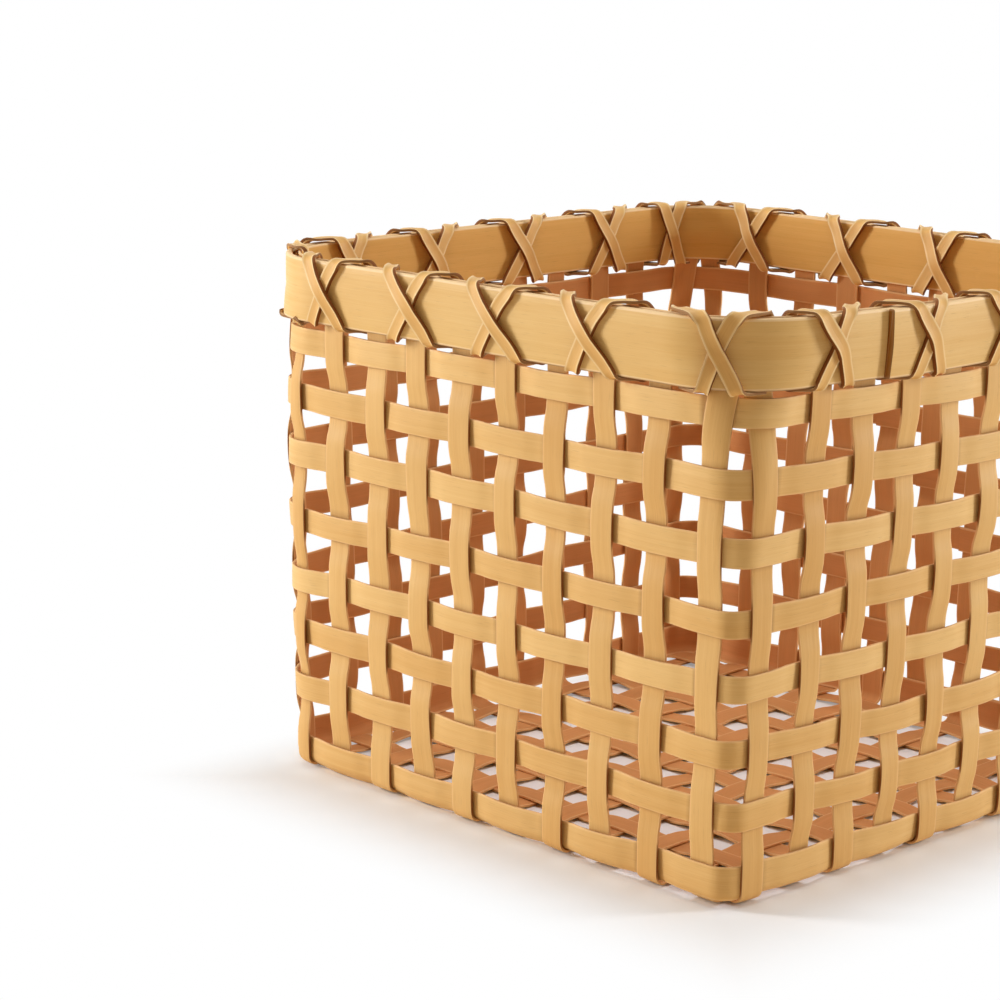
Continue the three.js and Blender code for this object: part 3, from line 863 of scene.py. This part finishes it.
def weaver_grid(row):
    """All the section points of one weaver, and its painted shade. Both ends are pared to about
    half; the start lies in the outer half of the lap and the end in the inner half."""
    middle = FIRST_WEAVER + row * WEAVER_PITCH
    first = 2 * STAKES_PER_SIDE + LAP_START + row % LAP_ROWS
    start = between_stakes(first, middle)
    end = between_stakes(first + STAKES_ROUND + LAP_STAKES, middle)
    length = float(ring_scale(1.0, middle))
    ring = np.linspace(start, end, int(4 * length / STEP))
    run = (ring - start) * length
    count = stake_count(ring, middle)
    wave = -weave_wave(count + row)
    lap = (end - start - 4) * length
    head = lap_ease(run - lap, PARED_LENGTH)
    tail = lap_ease(run[-1] - run - lap, PARED_LENGTH)
    thickness = STRIP_THICKNESS * (PARED_SHARE + (1 - PARED_SHARE) * np.minimum(head, tail))
    # The count starts on the back wall and runs on into the next round.
    depth = wave * eased(count, np.tile(weaver_bend[:, row], 2)) + PARED_SHIFT * (tail - head)
    height = row_height(row, ring) + slow_wander(run, *WEAVER_HEIGHT_WANDER)
    width = WEAVER_WIDTH * chance.normal(1.0, WIDTH_SPREAD) + slow_wander(run, *WEAVER_WIDTH_WANDER)
    if row == 0:
        width = width + FOOT_ROW_EXTRA
        height = height - FOOT_ROW_EXTRA / 2
    across, outward = section_offsets(width, thickness, SKIN_CROWN)
    lean = slow_wander(run, *WEAVER_LEAN_WANDER)[:, None]
    out = depth[:, None] + outward + lean * across
    grid = wall(ring[:, None], height[:, None] + across, out)
    # Painted shade at the weaver's crossings.
    return grid, crossing_shade(wave, WEAVER_EDGE_SHADE, WEAVER_DIP_SHADE)


for row in range(WEAVER_COUNT):
    add_strip(f"weaver_{row + 1:02d}", *weaver_grid(row), "weaver")
print("weavers:", WEAVER_COUNT)

# %% [markdown]
# Rim bands
#
# Two thicker bands hold the stakes' ends, one outside and one inside. Each is one strip that laps
# over itself, and on the right wall the outer band's square-cut tip stands proud with a shadow
# beside it. The bands follow the walls' function like a weaver, but without a wave; only their
# thickness and their distance out change along the lap.

# %% Rim bands
OUTER_SEAT = 1.58
OUTER_THICKNESS = 2.6
INNER_SEAT = 0.8
INNER_THICKNESS = 2.4
INNER_FOOT = 186.5
INNER_SKIN = -0.45
BAND_ROUNDING = 0.7
BAND_CROWN = 0.35
BAND_WANDER = (0.12, 55.0)
OUTER_LAP_PLACE = -58.0
OUTER_LAP = 60.0
OUTER_STEP = 2.6
OUTER_START = 1 + OUTER_LAP_PLACE / RIM_WALL
INNER_LAP = 45.0
LAP_CLEARANCE = 0.1
PARED_LEAST = 0.5
BAND_LEAST = 0.4
# Painted shade along the outer band's lower edge, where the top weaver meets it.
BAND_LOWER_SHADE = 0.85
LOWER_EDGE = np.where(SECTION_CORE[:, 0] < 0, SECTION_SIDES, 0.0)


def outer_rise(ring):
    """How far the outer band's lap stands proud: most at its square end, none past the lap."""
    past = np.mod(ring - OUTER_START, 4.0) * RIM_WALL
    return OUTER_STEP * (1 - lap_ease(past, OUTER_LAP))


def band_grid(start, lap, seat, thickness, step, foot, side):
    """All the section points of a rim band. Over the lap the start lies on top, proud by the
    step at its tip, and the end is pared away under it."""
    ring = np.linspace(start, start + 4 + lap / RIM_WALL, int(4 * RIM_WALL / STEP))
    run = (ring - start) * RIM_WALL
    head = lap_ease(run, lap)
    tail = lap_ease(run[-1] - run, lap)
    over = run < lap
    half = (thickness + step) / 2
    back = np.where(over, half * (1 - head), 0.0)
    pared = np.clip(half * tail - LAP_CLEARANCE, PARED_LEAST, thickness)
    face = np.where(over, thickness + step * (1 - head), pared)
    thick = np.maximum(face - back, BAND_LEAST)
    width = np.full(len(ring), RIM_TOP - foot)
    across, outward = section_offsets(width, thick, BAND_CROWN * side, BAND_ROUNDING)
    height = (RIM_TOP + foot) / 2 + rise(RIM_ROW, ring)
    depth = side * (seat + (back + face) / 2) + slow_wander(run, *BAND_WANDER)
    return wall(ring[:, None], height[:, None] + across, depth[:, None] + outward)


outer_grid = band_grid(
    OUTER_START, OUTER_LAP, OUTER_SEAT, OUTER_THICKNESS, OUTER_STEP, RIM_FOOT, 1
)
# The outer band's lower edge gets painted shade.
add_strip("rim_outer_band", outer_grid, BAND_LOWER_SHADE * LOWER_EDGE, "rim")
inner_grid = band_grid(0.0, INNER_LAP, INNER_SEAT, INNER_THICKNESS, 0.0, INNER_FOOT, -1)
add_strip("rim_inner_band", inner_grid, 0.0, "rim", INNER_SKIN)
print("rim bands: 2")

# %% [markdown]
# Lashing
#
# Two split strands wind round the rim in opposite ways and cross over every second stake, outside
# and inside. Each arches a little over the rim's top and passes under its foot between two stakes.
# Its face is hollow between pale edges, its sides are painted dark as shade, and it is thinner
# over the top. A helix would cut through the square rim, so one turn is drawn as a rounded
# rectangle, and a list of key places says how far along the strand is on each side. The turn is
# repeated for every cross, and the falling strand rides over the rising one.

# %% One turn round the rim
TURN_STATIONS = 120
FINE_STATIONS = 4001
TURN_SQUARENESS = 7.0
TURN_OUT = 5.0
TURN_IN = -3.9
TURN_HIGH = 211.2
TURN_LOW = 184.7


def rim_turn():
    """One turn round the rim as a superellipse, evenly spaced from the outer foot up the
    outside: out and height of each station, the way each faces, and its share of the turn."""
    angle = np.linspace(-np.pi / 4, 2 * np.pi - np.pi / 4, FINE_STATIONS)
    power = 2 / TURN_SQUARENESS
    bend = np.stack([np.cos(angle), np.sin(angle)], axis=1)
    shape = np.sign(bend) * np.abs(bend) ** power
    size = np.array([TURN_OUT - TURN_IN, TURN_HIGH - TURN_LOW]) / 2
    middle = np.array([TURN_OUT + TURN_IN, TURN_HIGH + TURN_LOW]) / 2
    points = middle + shape * size
    run = distances(points)
    even = np.linspace(0.0, run[-1], TURN_STATIONS + 1)
    track = np.stack([np.interp(even, run, points[:, axis]) for axis in (0, 1)], axis=1)
    way = np.gradient(track, axis=0)
    facing = np.stack([way[:, 1], -way[:, 0]], axis=1)
    return track, facing / np.linalg.norm(facing, axis=1)[:, None], even / run[-1]


print("one turn round the rim:", round(float(distances(rim_turn()[0])[-1]), 1), "mm")

# %% Crosses
# Where a turn has come round its sides, and how many stakes along the strand is there.
TURN_KEYS = np.array([0.0, 0.05, 0.12, 0.20, 0.30, 0.37, 0.50, 0.63, 0.76, 0.87, 1.0])
RISING_STAKES = np.array([-0.34, -0.26, -0.14, 0.0, 0.17, 0.34, 0.74, 0.97, 1.20, 1.40, 1.66])
FALLING_STAKES = np.array([0.44, 0.34, 0.18, 0.0, -0.26, -0.42, -0.72, -0.93, -1.13, -1.32, -1.56])
TOP_EDGE = 0.34
UNDER_EDGE = 0.88
PINCH_FADE = 0.12

# How far each cross stands off its stake, in stakes, and how widely it spreads; those that stand
# by a corner spread less. The photograph shows the first seven. It shows none on the left corner,
# so the last one stands back on the left wall.
CROSSES = STAKES_ROUND // 2
CROSSES_PER_SIDE = CROSSES // 4
SHIFT_SPREAD = 0.06
USUAL_SPREAD = 0.92
CORNER_SPREAD = 0.5
SEEN_SHIFTS = [-0.09, 0.07, -0.09, -0.19, -0.19, 0.125, 0.075]
SEEN_SPREADS = [0.93, 1.05, 1.1, 0.95, 0.44, 0.78, 0.75]
LAST_SHIFT = -0.5
cross_shift = chance.normal(0.0, SHIFT_SPREAD, CROSSES)
cross_shift[: len(SEEN_SHIFTS)] = SEEN_SHIFTS
cross_shift[-1] = LAST_SHIFT
cross_spread = np.full(CROSSES, USUAL_SPREAD)
cross_spread[CROSSES_PER_SIDE - 1 :: CROSSES_PER_SIDE] = CORNER_SPREAD
cross_spread[: len(SEEN_SPREADS)] = SEEN_SPREADS
print("crosses outside:", CROSSES)

# %% Path of a strand
# Where on the turn the strands cross outside, pass over the top and cross inside.
CROSS_PLACE = 0.2
TOP_PLACE = 0.44
INNER_PLACE = 0.68

# How far a strand stands off the turn there, and over what share of it.
BOW = 0.5
BOW_REACH = 0.14
TOP_ARCH = 0.8
ARCH_REACH = 0.055
CROSS_LIFT = 1.6
LIFT_REACH = 0.12
INNER_LIFT_REACH = 0.10


def through_keys(place, keys, values):
    """A smooth curve through key values: cubic pieces with slopes from the neighbours."""
    slope = np.gradient(values, keys)
    before = np.clip(np.searchsorted(keys, place, side="right") - 1, 0, len(keys) - 2)
    width = keys[before + 1] - keys[before]
    share = (place - keys[before]) / width
    rest = 1 - share
    return (
        values[before] * (1 + 2 * share) * rest**2
        + values[before + 1] * (3 - 2 * share) * share**2
        + width * share * rest * (slope[before] * rest - slope[before + 1] * share)
    )


def hump(place, middle, reach):
    """A smooth bump of height one round a middle."""
    return np.exp(-(((place - middle) / reach) ** 2))


def strand_offsets(place, rising):
    """How many stakes a strand stands off each cross, all round its turn. On the outside its own
    cross's spread scales the key values, and past the underside that of the cross it comes to."""
    stakes = through_keys(place, TURN_KEYS, RISING_STAKES if rising else FALLING_STAKES)
    way_on = 1 if rising else -1
    pinch = 1 - lap_ease(place - TOP_EDGE, PINCH_FADE)
    pinch_next = lap_ease(place - UNDER_EDGE, PINCH_FADE)
    narrower = cross_spread[:, None] - 1
    narrower_next = np.roll(narrower, -way_on, axis=0)
    offsets = stakes + stakes * narrower * pinch
    return offsets + (stakes - 2 * way_on) * narrower_next * pinch_next


def strand_lift(place, rising):
    """How far a strand stands off the turn: bows at both crosses, an arch over the top, and for
    the falling strand a lift over the rising one."""
    bows = hump(place, CROSS_PLACE, BOW_REACH) + hump(place, INNER_PLACE, BOW_REACH)
    lift = BOW * bows + TOP_ARCH * hump(place, TOP_PLACE, ARCH_REACH)
    if rising:
        return lift
    over = hump(place, CROSS_PLACE, LIFT_REACH) + hump(place, INNER_PLACE, INNER_LIFT_REACH)
    return lift + CROSS_LIFT * over


def strand_path(rising):
    """Ring place, height and distance out of a strand's stations, and how each faces on its turn.
    The falling strand takes each turn the other way round, so that both run on round the ring."""
    track, facing, place = rim_turn()
    offsets = strand_offsets(place, rising)
    lifted = track + strand_lift(place, rising)[:, None] * facing
    middles = np.arange(CROSSES) + CROSS_PLACE
    if not rising:
        lifted = lifted[::-1]
        facing = facing[::-1]
        offsets = offsets[:, ::-1]
        middles = np.arange(CROSSES) + 1 - CROSS_PLACE
    count = (np.arange(1, STAKES_ROUND, 2)[:, None] + offsets[:, :-1]).ravel()
    count = count + np.interp(np.arange(len(count)) / TURN_STATIONS, middles, cross_shift)
    crossed = np.arange(1 - STAKES_PER_SIDE, STAKES_ROUND + STAKES_PER_SIDE, 2)
    ring = through_keys(count, crossed, stake_ring(crossed, RIM_TOP))
    out, height = np.tile(lifted[:-1], (CROSSES, 1)).T
    out = out + outer_rise(ring) * np.clip(out / TURN_OUT, 0.0, 1.0)
    return ring, height + rise(RIM_ROW, ring), out, np.tile(facing[:-1], (CROSSES, 1))


print("stations of a strand:", len(strand_path(True)[0]))

# %% Both strands
LASHING_WIDTH = 5.4
LASHING_WANDER = (0.4, 45.0)
LASHING_STEP = 0.6
LASHING_THICKNESS = 1.9
TOP_THICKNESS = 1.2
LASHING_HOLLOW = 0.3
# How dark the painted shade on a strand's sides is, on the rim's sides and over its top, and from
# where across the section it starts.
LASHING_SIDE_SHADE = 0.95
TOP_SIDE_SHADE = 0.75
SIDE_FROM = 0.45


def strand_frame(ring, height, out, facing):
    """A strand's path, the way its face looks, square to the path, and the way across it."""
    path = wall(ring, height, out)
    beyond = wall(ring, height, out + 1.0) - path
    normal = facing[:, :1] * beyond
    normal[:, 2] += facing[:, 1]
    way = np.gradient(path, axis=0)
    way /= np.linalg.norm(way, axis=1)[:, None]
    normal -= way * np.sum(normal * way, axis=1)[:, None]
    normal /= np.linalg.norm(normal, axis=1)[:, None]
    return path, normal, np.cross(normal, way)


def lashing_grid(rising):
    """All the section points of one strand, and how dark the painted shade on its sides is. Upright
    is one on the rim's sides and nought over its top, where the strand is thinner and its painted
    shade lighter."""
    ring, height, out, facing = strand_path(rising)
    path, normal, side = strand_frame(ring, height, out, facing)
    run = np.arange(len(path)) * LASHING_STEP
    width = LASHING_WIDTH + slow_wander(run, *LASHING_WANDER)
    upright = facing[:, 0] ** 2
    thickness = TOP_THICKNESS + (LASHING_THICKNESS - TOP_THICKNESS) * upright
    across, outward = section_offsets(width, thickness, -LASHING_HOLLOW)
    grid = path[:, None] + side[:, None] * across[:, :, None] + normal[:, None] * outward[:, :, None]
    # Painted shade on the strand's sides.
    dark = TOP_SIDE_SHADE + (LASHING_SIDE_SHADE - TOP_SIDE_SHADE) * upright
    return grid, dark[:, None] * lap_ease(SECTION_SIDES - SIDE_FROM, 1 - SIDE_FROM)


for word, rising in (("rim_lashing_rising", True), ("rim_lashing_falling", False)):
    add_strip(word, *lashing_grid(rising), "lashing")
print("lashing strands: 2")

# %% [markdown]
# Floor and light
#
# The photograph is a bright studio shot: white all round, light from both sides and from above,
# and a faint warm shadow at the foot. A lit backdrop could be built, but it would throw light of
# its own. Here the world is white only where the camera looks straight at it. The floor keeps the
# basket's shadow and fades to that white away from it, later on the near side than behind.
# Two tall narrow lamps graze the walls that show, so each bend has a lit and a dark side. A broad
# lamp hangs above, and a weak warm fill, glow and bounce from the floor reach the inside.

# %% World and floor
WHITE = (1.0, 1.0, 1.0, 1.0)
WARM_AMBIENT = (0.115, 0.092, 0.066, 1.0)
FLOOR_SEEN = (0.93, 0.955, 0.985, 1.0)
FLOOR_BOUNCE = (0.9, 0.79, 0.64, 1.0)
FLOOR_MATT = {"Roughness": 0.9, "Specular IOR Level": 0.1}
FLOOR_LEVEL = -0.0001
FLOOR_HALF = 3.0

# In metres: how far the shaded square is moved towards the camera, and where its fade lies.
SHADE_SHIFT = 0.02
FADE_START = 0.108
FADE_END = 0.171


def directly_seen(tree):
    """One for what the camera sees straight, mirrored or through glass, and nought for light."""
    path = tree.nodes.new("ShaderNodeLightPath")
    seen = combined(tree, "MAXIMUM", path.outputs["Is Camera Ray"], path.outputs["Is Glossy Ray"])
    return combined(tree, "MAXIMUM", seen, path.outputs["Is Transmission Ray"])


def studio_world():
    """White as seen by the camera and in reflections, and a weak warm glow as light."""
    world = bpy.data.worlds.new("studio_white")
    world.use_nodes = True
    tree = world.node_tree
    colour = blended(tree, directly_seen(tree), WARM_AMBIENT, WHITE)
    feed(tree, tree.nodes["Background"], {"Color": colour})
    return world


def floor_finish():
    """Pale matt floor that shows its own shading near the basket and plain white further off."""
    material = bpy.data.materials.new("studio_floor")
    material.use_nodes = True
    tree = material.node_tree
    shader = tree.nodes["Principled BSDF"]
    seen = directly_seen(tree)
    colour = blended(tree, seen, FLOOR_BOUNCE, FLOOR_SEEN)
    feed(tree, shader, {"Base Color": colour, **FLOOR_MATT})
    white = tree.nodes.new("ShaderNodeEmission")
    feed(tree, white, {"Color": WHITE, "Strength": 1.0})
    place = tree.nodes.new("ShaderNodeTexCoord")
    sides = tree.nodes.new("ShaderNodeSeparateXYZ")
    feed(tree, sides, {"Vector": place.outputs["Object"]})
    along = combined(tree, "SUBTRACT", sides.outputs["X"], SHADE_SHIFT)
    aside = combined(tree, "ADD", sides.outputs["Y"], SHADE_SHIFT)
    reaches = [combined(tree, "ABSOLUTE", way, 0.0) for way in (along, aside)]
    far = ranged(tree, combined(tree, "MAXIMUM", *reaches), FADE_START, FADE_END)
    mixed = tree.nodes.new("ShaderNodeMixShader")
    share = combined(tree, "MULTIPLY", far, seen)
    feed(tree, mixed, {0: share, 1: shader.outputs["BSDF"], 2: white.outputs["Emission"]})
    feed(tree, tree.nodes["Material Output"], {"Surface": mixed.outputs["Shader"]})
    return material


scene.world = studio_world()
floor_corners = [
    (side * FLOOR_HALF, end * FLOOR_HALF, FLOOR_LEVEL)
    for side, end in ((-1, -1), (1, -1), (1, 1), (-1, 1))
]
floor_mesh = bpy.data.meshes.new("floor")
floor_mesh.from_pydata(floor_corners, [], [(0, 1, 2, 3)])
floor_mesh.materials.append(floor_finish())
floor = bpy.data.objects.new("floor", floor_mesh)
scene.collection.objects.link(floor)
print("floor reaches", FLOOR_HALF, "m each way")

# %% Lamps
WARM_LIGHT = (1.0, 0.72, 0.45)
LAMP_AIM = np.array([0.0, 0.0, 0.1])

# Each lamp: place, width and height in metres, power in watts, and colour if not white.
LAMPS = {
    "left_lamp": ((-1.27, -1.03, 0.55), 0.3, 0.9, 23.4),
    "right_lamp": ((1.03, 1.27, 0.5), 0.3, 0.9, 18.2),
    "top_lamp": ((0.05, 0.05, 1.8), 1.2, 1.2, 15.0),
    "warm_fill": ((1.15, -1.25, 0.7), 1.0, 1.0, 2.5, WARM_LIGHT),
}


def soft_lamp(name, place, width, height, power, colour=(1.0, 1.0, 1.0)):
    """A flat area lamp that looks at the basket's middle."""
    data = bpy.data.lights.new(name, "AREA")
    data.color = colour
    data.shape = "RECTANGLE"
    data.size = width
    data.size_y = height
    data.energy = power
    lamp = bpy.data.objects.new(name, data)
    lamp.visible_camera = False
    back = np.array(place) - LAMP_AIM
    back /= np.linalg.norm(back)
    right = np.cross([0.0, 0.0, 1.0], back)
    right /= np.linalg.norm(right)
    lamp.matrix_world = placed((right, np.cross(back, right), back), place)
    scene.collection.objects.link(lamp)


for name, values in LAMPS.items():
    soft_lamp(name, *values)
scene.view_settings.view_transform = "Standard"
print("lamps:", len(bpy.data.lights))
